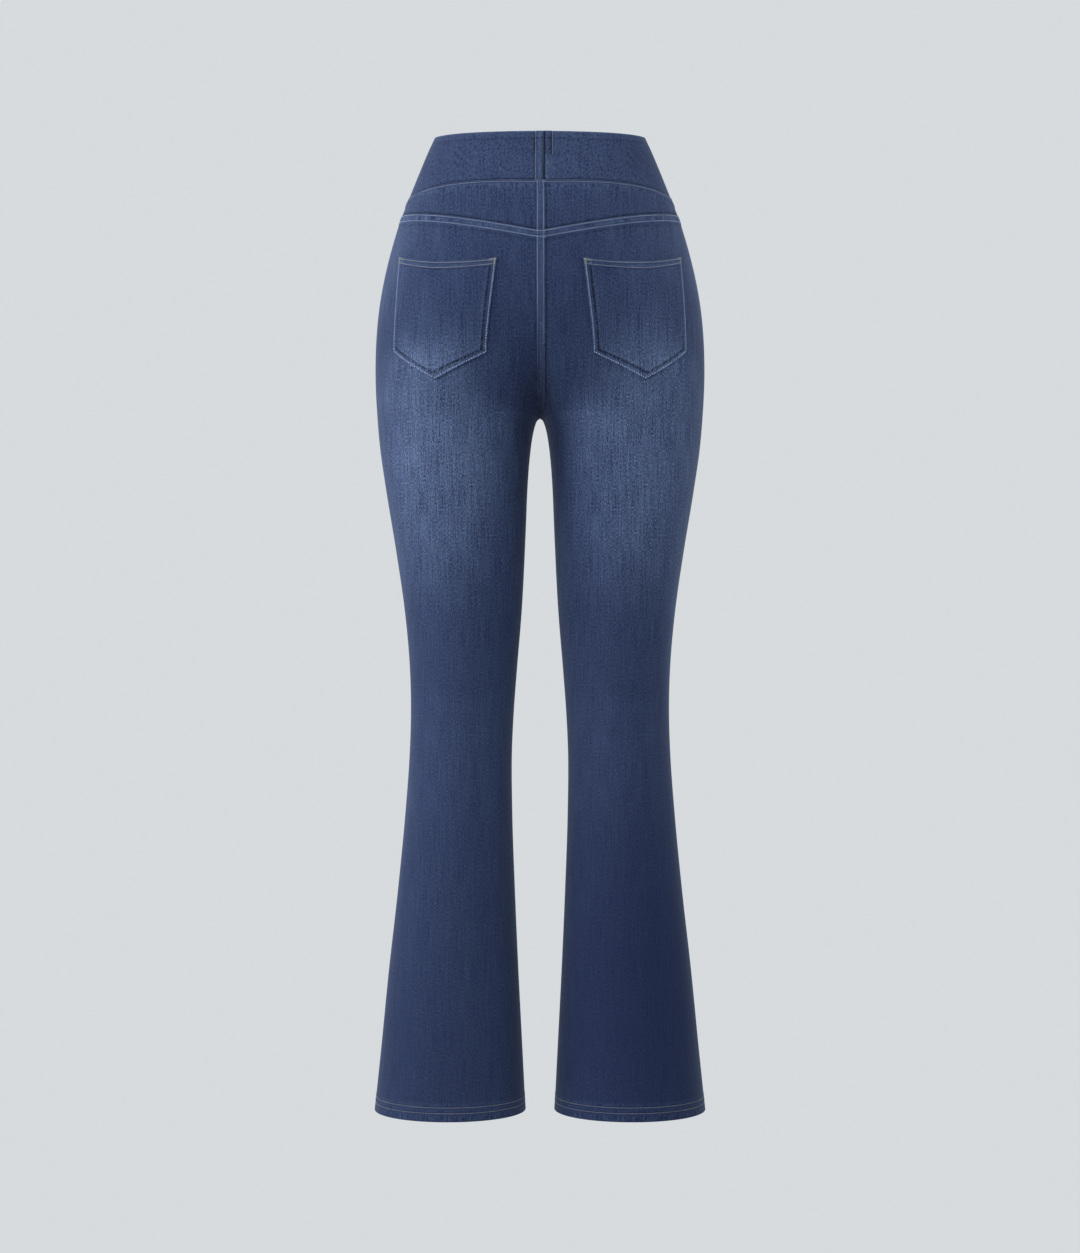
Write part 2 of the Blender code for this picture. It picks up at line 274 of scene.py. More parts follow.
def cloth_at(behind, side, height, distance):
    """Points of the plain cloth and its outward directions. A negative distance is
    across the middle, on the other half."""
    height, distance = np.broadcast_arrays(height, distance)
    angles, lengths = section_lines(behind, height)
    x, y = on_tube(read_off(lengths, angles, np.abs(distance)), tube_at(height))
    x = np.maximum(x, 0)
    directions = outward(x, y, height)
    points = np.stack([round_gap(x, height), y, height - WAIST_LEVEL], axis=-1)
    across = np.where(distance < 0, -side, side)
    points[..., 0] *= across
    directions[..., 0] *= across
    return points, directions


def moved(points, directions, offset):
    """Points moved outward by an offset in millimetres."""
    return points + directions * (offset * MM)[..., None]


def line_height(behind, name, share):
    """Height of a seam line at a share of the way from the middle to the side seam."""
    return curve(BACK_LINES if behind else FRONT_LINES, name, np.clip(share, 0, 1))


def above_seam(behind, name, height, distance):
    """How far a place on the cloth lies above a seam line, in millimetres."""
    return (height - line_height(behind, name, distance / width_at(behind, height))) / MM


def ease(t):
    t = np.clip(t, 0, 1)
    return t * t * (3 - 2 * t)


def band(x, low, high, soft_low, soft_high):
    """1 between low and high, falling to 0 over the soft widths outside them."""
    return ease((x - low) / soft_low + 1) * ease((high - x) / soft_high + 1)


def bump(x, width):
    return np.exp(-((x / width) ** 2))


def rows_at(x, rows, width):
    """1 at each row's place, falling to 0 over a width."""
    return sum(bump(x - row, width) for row in rows)


def rolled(x, radius):
    """How far a rolled edge falls back at a distance x in from the edge."""
    x = np.clip(x, 0, radius)
    return radius - np.sqrt(np.maximum(radius**2 - (radius - x) ** 2, 0))


def puckers(place, pitch=5.2):
    """Uneven little gathers along a sewn row, from -1 to 1."""
    turn = 2 * np.pi * place / pitch
    return 0.6 * np.sin(turn + 1.7 * np.sin(turn / 7.3)) + 0.4 * np.sin(turn * 0.61 + 2)


# Soft creases, a row each: the panels they lie on, the place of the middle, their half
# length, slope, and width and depth in millimetres. A negative depth is a ridge.
Crease = namedtuple("Crease", "behind side height share reach slope width depth")
CREASES = (
    Crease(True, -1, 0.742, 0.30, 0.30, 0.10, 9, 0.9),
    Crease(True, 1, 0.738, 0.28, 0.27, 0.12, 10, 0.8),
    Crease(True, -1, 0.722, 0.22, 0.20, 0.14, 8, -0.5),
    Crease(True, 1, 0.716, 0.24, 0.22, 0.10, 8, -0.4),
    Crease(True, -1, 0.455, 0.45, 0.36, -0.04, 11, 0.8),
    Crease(True, 1, 0.448, 0.50, 0.34, 0.05, 12, 0.8),
    Crease(True, -1, 0.418, 0.60, 0.26, 0.08, 9, 0.6),
    Crease(True, 1, 0.409, 0.38, 0.28, -0.07, 10, 0.6),
    Crease(False, -1, 0.782, 0.34, 0.30, 0.26, 9, 0.8),
    Crease(False, 1, 0.778, 0.32, 0.28, 0.28, 9, 0.8),
    Crease(False, -1, 0.752, 0.36, 0.30, 0.16, 10, 0.6),
    Crease(False, 1, 0.748, 0.34, 0.27, 0.18, 9, 0.6),
    Crease(False, -1, 0.440, 0.50, 0.30, 0.04, 12, 0.5),
    Crease(False, 1, 0.436, 0.48, 0.30, -0.04, 12, 0.5),
)


def creases_at(behind, side, height, share):
    total = np.zeros_like(height)
    for row in CREASES:
        if (row.behind, row.side) == (behind, side):
            off = share - row.share
            away = (height - row.height - 0.2 * row.slope * off) / MM
            total -= row.depth * bump(away, row.width) * ease(1.3 - abs(off / row.reach))
    return total


# How worn and faded the cloth is, with painted light and shade among the rows: paler patches of
# painted light where the studio lights fall short, as on the inner edges and the hips, and
# darker patches of painted shade, as on the inner thighs, at the left pocket's outer corner and
# on the lower right leg. A row for each patch: the side it lies on (0 for both), height and
# share of its middle, its half height and half width, and the amount. 0 is deep indigo and 1 is
# nearly white.
Fade = namedtuple("Fade", "side height share tall wide amount")
BASE_WEAR = 0.14
BACK_FADES_AND_SHADES = (
    Fade(0, 0.765, 0.53, 0.048, 0.25, 0.22),
    Fade(0, 0.690, 0.55, 0.085, 0.32, 0.34),
    Fade(0, 0.600, 0.58, 0.060, 0.30, 0.12),
    Fade(0, 0.803, 0.50, 0.020, 0.19, 0.14),
    Fade(-1, 0.815, 0.36, 0.025, 0.13, 0.09),
    # Painted shade: darker at the left pocket's outer lower corner, where the light from the
    # left falls strongest.
    Fade(-1, 0.815, 0.72, 0.035, 0.12, -0.07),
    Fade(1, 0.825, 0.44, 0.030, 0.14, 0.12),
    Fade(0, 0.735, 0.20, 0.040, 0.11, -0.06),
    Fade(-1, 0.705, 0.50, 0.040, 0.30, 0.07),
    # Darker inner thighs, these two rows: partly unworn indigo, partly painted shade between
    # the legs.
    Fade(1, 0.695, 0.16, 0.080, 0.14, -0.10),
    Fade(0, 0.700, 0.00, 0.120, 0.20, -0.05),
    Fade(0, 0.590, 0.28, 0.080, 0.14, -0.04),
    # Painted light: paler inner edges of the thighs, these two rows, where little light
    # reaches.
    Fade(0, 0.540, 0.06, 0.140, 0.11, 0.08),
    Fade(0, 0.610, 0.03, 0.110, 0.07, 0.10),
    Fade(0, 0.400, 0.45, 0.080, 0.45, 0.04),
    # Darker middle of the seat: partly unworn indigo, partly painted shade.
    Fade(0, 0.900, 0.16, 0.080, 0.25, -0.04),
    # Paler hips at the side seams, these four rows: partly wear, partly painted light where the
    # side lights fall.
    Fade(0, 0.925, 0.90, 0.055, 0.22, 0.16),
    Fade(0, 0.885, 1.00, 0.080, 0.13, 0.11),
    Fade(-1, 0.925, 0.76, 0.060, 0.13, 0.08),
    Fade(1, 0.890, 0.86, 0.060, 0.08, 0.10),
    Fade(1, 1.030, 0.65, 0.030, 0.25, -0.05),
    Fade(1, 0.560, 0.90, 0.120, 0.09, 0.20),
    Fade(-1, 0.600, 0.86, 0.060, 0.07, 0.06),
    Fade(-1, 0.330, 0.86, 0.060, 0.07, 0.06),
    # Painted light: paler inner edges of the legs, these three rows, where the lights hardly
    # reach.
    Fade(1, 0.350, 0.12, 0.350, 0.08, 0.05),
    Fade(1, 0.620, 0.13, 0.110, 0.07, 0.08),
    Fade(-1, 0.610, 0.13, 0.100, 0.07, 0.07),
    Fade(-1, 0.060, 0.60, 0.100, 0.15, -0.025),
    Fade(1, 1.030, 0.25, 0.035, 0.30, 0.05),
    Fade(1, 0.890, 0.45, 0.050, 0.20, 0.03),
    Fade(1, 0.765, 0.40, 0.030, 0.12, 0.06),
    Fade(0, 1.020, 0.20, 0.040, 0.40, 0.04),
    Fade(0, 0.020, 0.50, 0.200, 1.00, -0.03),
    # Painted shade: the lower right leg darker, these two rows, where the right light falls
    # off.
    Fade(1, 0.150, 0.50, 0.240, 0.60, -0.085),
    Fade(1, 0.250, 0.90, 0.200, 0.20, -0.03),
    Fade(-1, 0.080, 0.95, 0.140, 0.20, -0.04),
)
FRONT_FADES_AND_SHADES = (
    Fade(0, 0.66, 0.55, 0.130, 0.36, 0.24),
    Fade(0, 0.45, 0.52, 0.090, 0.34, 0.10),
    # Darker inner thighs, these two rows: partly unworn indigo, partly painted shade between
    # the legs.
    Fade(0, 0.78, 0.04, 0.090, 0.22, -0.06),
    Fade(0, 0.68, 0.00, 0.120, 0.16, -0.10),
    # Paler hips at the side seams, these two rows: partly wear, partly painted light from the
    # side lights.
    Fade(0, 0.925, 0.90, 0.055, 0.22, 0.16),
    Fade(0, 0.885, 1.00, 0.080, 0.13, 0.11),
    Fade(0, 0.02, 0.50, 0.200, 1.00, -0.04),
)


# How worn a place is, from the table above, with its painted light and shade.
def wear_and_shade_at(behind, side, height, share):
    total = np.full_like(height, BASE_WEAR)
    for row in BACK_FADES_AND_SHADES if behind else FRONT_FADES_AND_SHADES:
        if row.side in (0, side):
            off = ((height - row.height) / row.tall) ** 2
            total += row.amount * np.exp(-off - ((share - row.share) / row.wide) ** 2)
    return total


# What covers a place of a piece: its outer and inner face over the plain cloth, in millimetres,
# how worn it is, with painted light and shade mixed in, and how pale the sewing makes it, some
# of it painted highlight on folded edges, or, below 0, how dark: painted shadow and shade in
# the seams' ditches, beside folded edges and along sewn rows, partly unworn indigo.
Skin = namedtuple("Skin", "relief inner wear edge")

# The kinds of denim: the strength of the marks along the warp and along the twill, how
# near to the middle the gathers along the sewing lean over, in metres, and how much the
# gathers break it up.
Denim = namedtuple("Denim", "slub diagonal slanted uneven")
DENIMS = {
    "denim_face": Denim(1.0, 0.25, 7.5 * MM, 1.0),
    "denim_band": Denim(0.6, 1.0, 0.0, 0.25),
    "denim_pocket": Denim(1.0, 0.25, 1.0, 1.0),
}

# Each piece: its node, whether it lies behind, its denim, how far along the cloth it is
# cut from, and its width, length and flat area as it is cut, with its seam allowances.
Cut = namedtuple("Cut", "name behind denim origin width length area")
BACK_CUT = Cut("back", True, "denim_face", 1.0, 0.295, 1.010, 0.2290)
FRONT_CUT = Cut("front", False, "denim_face", 0.0, 0.275, 1.030, 0.2140)
YOKE_CUT = Cut("yoke", True, "denim_face", 1.0, 0.225, 0.080, 0.0125)
BAND_BACK_CUT = Cut("waistband_back", True, "denim_band", 5.0, 0.190, 0.090, 0.0150)
BAND_FRONT_CUT = Cut("waistband_front", False, "denim_band", 5.0, 0.370, 0.095, 0.0300)
POCKET_CUT = Cut("pocket", True, "denim_pocket", 3.0, 0.145, 0.160, 0.0185)


def lap_scale(behind, height):
    """How far the centre lap reaches, as a multiple of its width: it widens in the fold
    over the crotch, and closes at the crotch itself."""
    wide = length_to(behind, height, CENTRE_LAP * MM) / (CENTRE_LAP * MM)
    return np.clip(wide, 1, 3.2) * ease(((height - CROTCH) / MM - 1) / 5)


def centre_lap(behind, side, height, distance):
    """The left pieces' lap over the middle: relief, inner face, paleness from wear, and
    darkness: painted shadow beside the lap's folded edge and painted shade along its rows.
    """
    scale = np.maximum(lap_scale(behind, height), 0.01)
    place = distance / MM / scale
    strength = np.minimum(scale, 1)
    # The right pieces only darken in a line just beyond the left lap's folded edge: painted
    # shadow.
    if side > 0:
        none = np.zeros_like(place)
        return none, none, none, 0.9 * strength * bump(place - CENTRE_LAP, 1.3)
    lap = ease((4.2 - place) / 1.8) * strength
    rows = rows_at(place, CENTRE_ROWS, 0.8) * strength
    return LAP * lap - 0.25 * rows, ease(1 - place / 2) * strength, 0.75 * lap, 1.5 * rows


def leg_skin(behind, side, height, distance):
    width = width_at(behind, height)
    share = distance / width
    place, level, to_side = distance / MM, height / MM, (width - distance) / MM
    above = height > CROTCH
    lap_relief, inner, pale, dark = (
        np.where(above, part, 0) for part in centre_lap(behind, side, height, distance)
    )
    relief = creases_at(behind, side, height, share) + lap_relief
    if behind:
        up = above_seam(True, "yoke", height, distance)
        top_edge = YOKE_LAP - up
        lap = ease((up + 6.4) / 2.4)
        rows = rows_at(up, YOKE_ROWS, 0.8)
        flatter = 0.15 + 0.85 * ease(to_side / 45)
        relief += (flatter * LAP + 0.12 * puckers(place)) * lap - 0.25 * rows
        inner = np.maximum(inner, ease((up + 2) / 2))
        pale = np.maximum(pale, 0.7 * lap)
        # Painted shadow in a dark line below the raised strip, and painted shade along its
        # rows.
        dark += 0.35 * bump(up + 7.4, 1.1) + 1.7 * rows
    else:
        top_edge = -above_seam(False, "band", height, distance)
        lap = ease((8 - top_edge) / 2.5)
        relief += 0.7 * lap - 0.25 * bump(top_edge - BAND_ROW, 0.8)
        pale = np.maximum(pale, lap)
    # The turned-up hem, and the rows that hold it.
    hem = ease((HEM_TOP - level) / 2 + 0.5)
    rows = rows_at(level, HEM_ROWS, 0.9)
    relief += 0.25 * hem - 0.3 * rows + 0.1 * hem * puckers(place + 0.6 * level, 7)
    pale = np.maximum(pale, 0.25 * hem)
    # The side seam, and below the crotch the inseam.
    ridge = bump(to_side - 1.6, 1.6)
    relief += 0.35 * ridge
    below = ease((CROTCH - height) / MM / 15)
    # Darker along the hem rows, painted shade, and in the joins of the side seam and the
    # inseam, painted shade with unworn indigo.
    dark += 0.5 * rows + 0.7 * bump(to_side, 0.8) + 0.5 * bump(place, 1.2) * below
    thickness = CLOTH + (HEM_CLOTH - CLOTH) * hem
    half = 0.45 * thickness
    fall = rolled(to_side, 0.45) + rolled(level, half) + rolled(top_edge, 0.4)
    if side < 0:
        to_lap = place + CENTRE_LAP * lap_scale(behind, height)
        fall += np.where(above, rolled(to_lap, 0.4), 0)
    lift = np.minimum(fall, half)
    inner_face = inner * LAP_CLEAR - (1 - inner) * thickness
    # Where laps lie on laps, the inner face keeps the cloth's own thickness.
    inner_face = np.where(inner > 0.5, np.maximum(inner_face, relief - 0.95), inner_face)
    wear = wear_and_shade_at(behind, side, height, share)
    return Skin(relief - lift, inner_face + 0.3 * lift, wear, pale + 0.35 * ridge - dark)


def yoke_skin(behind, side, height, distance):
    width = width_at(behind, height)
    relief, under, pale, dark = centre_lap(behind, side, height, distance)
    down = -above_seam(behind, "band", height, distance)
    up = above_seam(behind, "yoke", height, distance)
    place, to_side = distance / MM, (width - distance) / MM
    lap = ease((9 - down) / 2.5)
    ridge = bump(to_side - 1.6, 1.6)
    relief = relief + (0.75 + 0.1 * puckers(place)) * lap
    relief += 0.35 * ridge - 0.25 * bump(down - BAND_ROW, 0.8)
    pale = np.maximum(pale, 0.45 * ease((13 - down) / 8)) + 0.35 * ridge
    # Dark lines: painted shade along the waist row, painted shadow above the back panel's
    # lapped edge, and in the side seam's join painted shade with unworn indigo.
    dark += 1.6 * bump(down - BAND_ROW, 0.9) + 1.1 * bump(up - YOKE_LAP - 0.9, 1.1)
    dark += 0.7 * bump(to_side, 0.8)
    fall = rolled(to_side, 0.45) + rolled(down, 0.5)
    if side < 0:
        fall += rolled(place + CENTRE_LAP * lap_scale(behind, height), 0.4)
    inner_face = under * LAP_CLEAR - (1 - under) * CLOTH
    wear = wear_and_shade_at(behind, side, height, distance / width)
    return Skin(relief - fall, inner_face, wear, pale - dark)


def band_skin(behind, side, height, distance):
    """The waistband: its rolled top, the casing's edge, and behind the centre seam."""
    width = width_at(behind, height)
    down = -above_seam(behind, "top", height, distance)
    up = above_seam(behind, "band", height, distance)
    to_side = (width - np.abs(distance)) / MM
    relief = -0.12 * bump(down - CASING, 1.3)
    # Paler above the casing's edge; at the edge a thin dark line of painted shade.
    edge = 0.25 * ease((CASING - down) / 2) - 0.40 * bump(down - CASING, 1.0)
    # A pale line along the rolled top, wear with a painted highlight; a dark line of painted
    # shadow under the band's folded lower edge.
    edge += 0.8 * bump(down - 0.8, 1.2) - 1.6 * bump(up, 1.2)
    fall = rolled(down, 0.95) + rolled(up, 0.7) + rolled(to_side, 0.6)
    if behind:
        x = side * distance / MM
        seam = x - BAND_SEAM_X
        high = ease((BAND_STRIP - down) / 1.5)
        flat = band(x, BAND_SEAM_X - 8.6, BAND_SEAM_X, 0.8, 0.1)
        patch = band(x, BAND_SEAM_X, 11.7, 0.1, 0.7)
        spread = ease((26 - x) / 13) * (seam > 0) * (1 - high)
        relief += 0.5 * flat + (0.35 + 0.35 * high) * patch + 0.3 * bump(x - 0.2, 1.0)
        relief += 0.3 * (1 - 0.6 * high) * bump(x - 6.0, 1.0)
        edge += 0.9 * bump(x + 0.2, 1.6) + 0.2 * flat + 0.35 * spread
        edge += (1.0 - 0.4 * high) * bump(x - 6.9, 1.5) - 0.25 * patch * high
        # Dark lines of painted shadow: in the centre seam's ditch, beside the strips' folded
        # edges and below the end of the right strip.
        edge -= 2.2 * bump(seam - 0.6, 1.3) + 1.2 * high * bump(x - 12.0, 0.9)
        edge -= (0.8 + 0.5 * high) * bump(x + 5.6, 1.2)
        edge -= 0.7 * bump(down - BAND_STRIP - 0.5, 1.2) * band(x, 8, 19, 1, 1)
        fall += rolled(np.abs(seam), 0.95)
    wear = wear_and_shade_at(behind, side, height, np.abs(distance) / width)
    return Skin(relief - fall, 0.8 * rolled(down, 0.95) - BAND_CLOTH, wear, edge)


def along(*runs):
    """Numbers over several runs, each (start, end, step), in order and without repeats."""
    values = [
        np.linspace(start, end, max(int(round(abs(end - start) / step)), 1) + 1)
        for start, end, step in runs
    ]
    return np.unique(np.round(np.concatenate(values), 7))


# A piece's last columns, in from its side seam.
SIDE_STEPS = along((0, 5, 0.8), (0, 0.8, 0.2)) * MM


def cloth_mesh(name, outer, inner, uv, skin, materials):
    """A closed shell between two grids. The outer face has the first material and the
    inner face the second."""
    rows, columns = outer.shape[:2]
    mesh = bpy.data.meshes.new(name)
    count = rows * columns
    index = np.arange(count).reshape(rows, columns)
    quads = np.stack(
        [index[:-1, :-1], index[:-1, 1:], index[1:, 1:], index[1:, :-1]], axis=-1
    ).reshape(-1, 4)
    rim = np.concatenate([index[0, :-1], index[:-1, -1], index[-1, :0:-1], index[:0:-1, 0]])
    next_rim = np.roll(rim, -1)
    walls = np.stack([rim, rim + count, next_rim + count, next_rim], axis=-1)
    faces = np.concatenate([quads, quads[:, ::-1] + count, walls])
    mesh.from_pydata(np.concatenate([outer, inner]).reshape(-1, 3).tolist(), [], faces.tolist())
    build = bmesh.new()
    build.from_mesh(mesh)
    bmesh.ops.recalc_face_normals(build, faces=build.faces)
    build.to_mesh(mesh)
    build.free()
    for material in materials:
        mesh.materials.append(material)
    inside = np.zeros(len(faces), int)
    inside[len(quads) : 2 * len(quads)] = 1
    mesh.polygons.foreach_set("material_index", inside)
    layer = mesh.uv_layers.new(name="cloth")
    corner = np.empty(len(mesh.loops), int)
    mesh.loops.foreach_get("vertex_index", corner)
    layer.data.foreach_set("uv", np.tile(uv.reshape(-1, 2), (2, 1))[corner].ravel())
    for label in ("wear", "edge"):
        values = np.tile(getattr(skin, label).ravel(), 2).astype(np.float32)
        mesh.attributes.new(label, "FLOAT", "POINT").data.foreach_set("value", values)
    mesh.shade_smooth()
    mesh.set_sharp_from_angle(angle=np.radians(60))
    piece = bpy.data.objects.new(name, mesh)
    bpy.context.scene.collection.objects.link(piece)
    return piece


def make_shell(cut, side, height, distance, skin):
    """Builds one cut piece on its relief, and puts it in its node's place."""
    node = cut.name
    if cut is not BAND_FRONT_CUT:
        node += "_right" if side > 0 else "_left"
    points, directions = cloth_at(cut.behind, side, height, distance)
    outer = moved(points, directions, skin.relief)
    inner = moved(points, directions, np.minimum(skin.inner, skin.relief - 0.3))
    across = side * (distance - length_to(cut.behind, height, GRAIN_LINE))
    uv = np.stack([across + cut.origin, height], axis=-1)
    materials = (denim(cut.denim), denim_inside())
    piece = cloth_mesh(node + "_cloth", outer, inner, uv, skin, materials)
    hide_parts(node)
    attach(piece, BODY)


def columns_of(cut, side, height):
    """Distances of a piece's columns at each height, from its inner edge to the side
    seam: close together near both. The left pieces lap over the middle."""
    start, dense, step = 0 * height, 12, 0.8
    if cut is BAND_BACK_CUT:
        start, dense, step = start + side * BAND_SEAM_X, 14, 0.7
    elif side < 0:
        start = -CENTRE_LAP * lap_scale(cut.behind, height)
    start = (start[..., None] + EDGE_GAP) * MM
    width = width_at(cut.behind, height)[..., None]
    middle = np.linspace(start + dense * MM, width - SIDE_STEPS[-1], 32, axis=-1)
    inner = start + along((0, dense, step), (0, 1.2, 0.2)) * MM
    return np.concatenate([inner, middle[..., 0, 1:-1], width - SIDE_STEPS[::-1]], axis=-1)


def make_piece(cut, side, level, rows_over, skin_of):
    """Builds a piece that ends at the side seam. rows_over gives its rows' heights over
    the shares that its columns have at one level."""
    at = np.array([level])
    shares = (columns_of(cut, side, at) / width_at(cut.behind, at)[..., None])[0]
    height = rows_over(cut.behind, shares)
    # Each cell of the grid lies on its own height's section.
    distance = np.diagonal(columns_of(cut, side, height), axis1=1, axis2=2)
    make_shell(cut, side, height, distance, skin_of(cut.behind, side, height, distance))


def leg_rows(behind, shares):
    """Heights of a leg panel's rows, closer together at the hem, crotch and top seam."""
    crotch = CROTCH / MM
    low = MM * along(
        (0, 1.2, 0.2),
        (1.2, 22, 1.1),
        (22, 700, 7),
        (700, 744, 3.4),
        (744, crotch + 6, 0.75),
        (crotch + 6, crotch + 30, 2.4),
        (crotch + 30, crotch + 100, 5),
    )
    top = line_height(behind, "yoke" if behind else "band", shares)
    top = top + (YOKE_LAP if behind else -EDGE_GAP) * MM
    high = along((0, 0.80, 0.05), (0.80, 1.0, 0.0075), (0.985, 1.0, 0.0025))[1:, None]
    low = np.repeat(low[:, None], len(top), axis=1)
    return np.concatenate([low, low[-1] + (top - low[-1]) * high])


def yoke_rows(behind, shares):
    low = line_height(behind, "yoke", shares) + 0.3 * MM
    high = line_height(behind, "band", shares) - EDGE_GAP * MM
    return low + (high - low) * along((0, 1, 0.024), (0.97, 1, 0.006))[:, None]


def band_rows(behind, shares):
    low = line_height(behind, "band", shares) + EDGE_GAP * MM
    high = line_height(behind, "top", shares)
    t = along((0, 1, 0.022), (0, 0.02, 0.004), (0.96, 1, 0.004))[:, None]
    return low + (high - low) * t


def make_waistband_front():
    middle = np.linspace(-1, 1, 97)
    near = 1 - SIDE_STEPS / width_at(False, np.array([1.03]))[0]
    shares = np.unique(np.concatenate([middle[np.abs(middle) < near[-1]], near, -near]))
    height = band_rows(False, np.abs(shares))
    distance = shares * width_at(False, height)
    skin = band_skin(False, 1, height, distance)
    make_shell(BAND_FRONT_CUT, 1, height, distance, skin)


def pocket_place(across, down):
    """Height and distance of a place on the pocket: across from its inner to its outer
    edge and down from its mouth, both from 0 to 1."""
    inner, outer = POCKET_LOW_INNER, POCKET_LOW_OUTER
    point = (POCKET_POINT.distance - inner.distance) / (outer.distance - inner.distance)
    low = np.interp(across, [0, point, 1], [inner.height, POCKET_POINT.height, outer.height])
    high = np.interp(across, [0, 1], [POCKET_TOP_INNER.height, POCKET_TOP_OUTER.height])
    high = high - POCKET_TOP_SAG * 4 * across * (1 - across)
    height = high + (low - high) * down
    inner_edge, outer_edge = (
        np.interp(height, [corner.height, top.height], [corner.distance, top.distance])
        for corner, top in ((inner, POCKET_TOP_INNER), (outer, POCKET_TOP_OUTER))
    )
    return height, inner_edge + (outer_edge - inner_edge) * across


def pocket_skin(side, across, down):
    """Heights, distances and skin of places on the pocket: double edges and mouth."""
    height, distance = pocket_place(across, down)
    bottom = (1 - down) * POCKET_HEIGHT * POCKET_SLANT
    mouth = down * POCKET_HEIGHT
    rim = np.minimum(np.minimum(across, 1 - across) * POCKET_WIDTH, bottom)
    border = ease((9.2 - rim) / 2.2)
    turned = ease((9.6 - mouth) / 1.6)
    rows = bump(rim - POCKET_ROW, 0.8) + bump(rim - POCKET_INNER_ROW, 0.9)
    rows += rows_at(mouth, POCKET_MOUTH_ROWS, 0.8)
    relief = POCKET_CLEAR + CLOTH + 0.55 * np.maximum(border, turned) - 0.25 * rows
    relief += 0.45 * ease(rim / 30) * ease(mouth / 25)
    relief += 0.22 * puckers((height + distance) / MM, 5) * bump(rim - 7, 3)
    fall = rolled(rim, 0.6) + rolled(mouth, 0.6)
    # The inner row's gathers: a dark band of painted shade beside the row and a paler band
    # inside it, strong near the middle of the back and below.
    towards_outer = ease((across - 0.1) / 0.5) * ease((bottom - 4) / 10)
    inner_row = (1 - 0.7 * towards_outer) * ease((mouth - 8) / 3)
    # A pale fold line just in from the edge, wear with a painted highlight; the paler border
    # and turned mouth are wear. At the very edge a dark line of painted shadow, and painted
    # shade along the edge row.
    edge = 1.8 * bump(rim - 0.9, 1.1) + 0.35 * border + 0.45 * turned
    edge -= 1.6 * bump(np.minimum(rim, mouth), 0.5) + 0.8 * bump(rim - POCKET_ROW, 0.8)
    edge += inner_row * (0.6 * bump(rim - 8.8, 1.2) - 1.5 * bump(rim - 6.2, 1.7))
    # Painted shadow just below each mouth row.
    edge -= 0.8 * rows_at(mouth - 1.2, POCKET_MOUTH_ROWS, 0.7)
    wear = wear_and_shade_at(True, side, height, distance / width_at(True, height)) + 0.01
    wear += 0.06 * bump(bottom - 9, 18) - 0.08 * border * bump(bottom, 25)
    return height, distance, Skin(relief - fall, POCKET_CLEAR, wear, edge)


def make_pocket(side):
    fine = along((0, 0.012, 0.0025), (0.012, 0.10, 0.0070), (0.10, 0.90, 0.0200))
    cells = np.unique(np.round(np.concatenate([fine, 1 - fine]), 6))
    make_shell(POCKET_CUT, side, *pocket_skin(side, *np.meshgrid(cells, cells[::-1])))


# Sewn rows: the points of each, and their outward directions.


def row_on(skin, behind, side, height, distance):
    points, directions = cloth_at(behind, side, height, distance)
    return moved(points, directions, skin.relief + ROW_LIFT), directions


def sewn_row(skin_of, behind, side, height, distance):
    """A row lying on a piece's relief."""
    skin = skin_of(behind, side, height, distance)
    return row_on(skin, behind, side, height, distance)


def below_seam(behind, name, drop, start):
    """Heights and distances of a row that follows a seam line at a drop below it, from
    a start beside the middle, both in millimetres, to the side seam."""
    share = np.linspace(0, 1, 121)
    height = line_height(behind, name, share) - drop * MM
    start = start * MM
    distance = start + (width_at(behind, height) - MM - start) * share
    return height - (above_seam(behind, name, height, distance) + drop) * MM, distance


def row_start(side):
    """How far from the middle a row behind starts: on the lap, or clear of it."""
    return 0.8 - CENTRE_LAP if side < 0 else 0.6 + CENTRE_LAP


def yoke_seam_rows():
    for side in SIDES:
        for offset in YOKE_ROWS:
            places = below_seam(True, "yoke", -offset, row_start(side))
            yield sewn_row(leg_skin, True, side, *places)


def waist_rows():
    for behind, skin_of in ((True, yoke_skin), (False, leg_skin)):
        for side in SIDES:
            start = row_start(side) if behind else EDGE_GAP
            places = below_seam(behind, "band", BAND_ROW, start)
            yield sewn_row(skin_of, behind, side, *places)


def centre_rows():
    """The two rows down each lapped seam, from the waistband to the crotch."""
    on_yoke = line_height(True, "yoke", 0) + YOKE_LAP * MM
    for behind in (True, False):
        top = line_height(behind, "band", 0) - 1.2 * MM
        height = np.linspace(top, CROTCH + 12 * MM, 150)
        for offset in CENTRE_ROWS:
            distance = offset * MM * lap_scale(behind, height)
            row = sewn_row(leg_skin, behind, -1, height, distance)
            if behind:
                over = sewn_row(yoke_skin, True, -1, height, distance)
                high = (height > on_yoke)[:, None]
                row = [np.where(high, *pair) for pair in zip(over, row)]
            yield row


def band_centre_rows():
    """The waistband's rows beside its centre seam: the right one is short."""
    top, low = (line_height(True, name, 0) for name in ("top", "band"))
    for side, place, end, count in (
        (-1, 4.8, low + 0.8 * MM, 40),
        (1, 13.2, top - 25 * MM, 30),
    ):
        height = np.linspace(top - 1.2 * MM, end, count)
        yield sewn_row(band_skin, True, side, height, np.full(count, place * MM))


def hem_rows():
    for behind in (True, False):
        for side in SIDES:
            for level in HEM_ROWS:
                height = np.full(90, level * MM)
                end = width_at(behind, height[0]) - 0.6 * MM
                distance = np.linspace(0.6 * MM, end, 90)
                yield sewn_row(leg_skin, behind, side, height, distance)


def pocket_row(side, across, down):
    """A row on a pocket, at places in millimetres from its inner edge and its mouth."""
    height, distance, skin = pocket_skin(side, across / POCKET_WIDTH, down / POCKET_HEIGHT)
    return row_on(skin, True, side, height, distance)


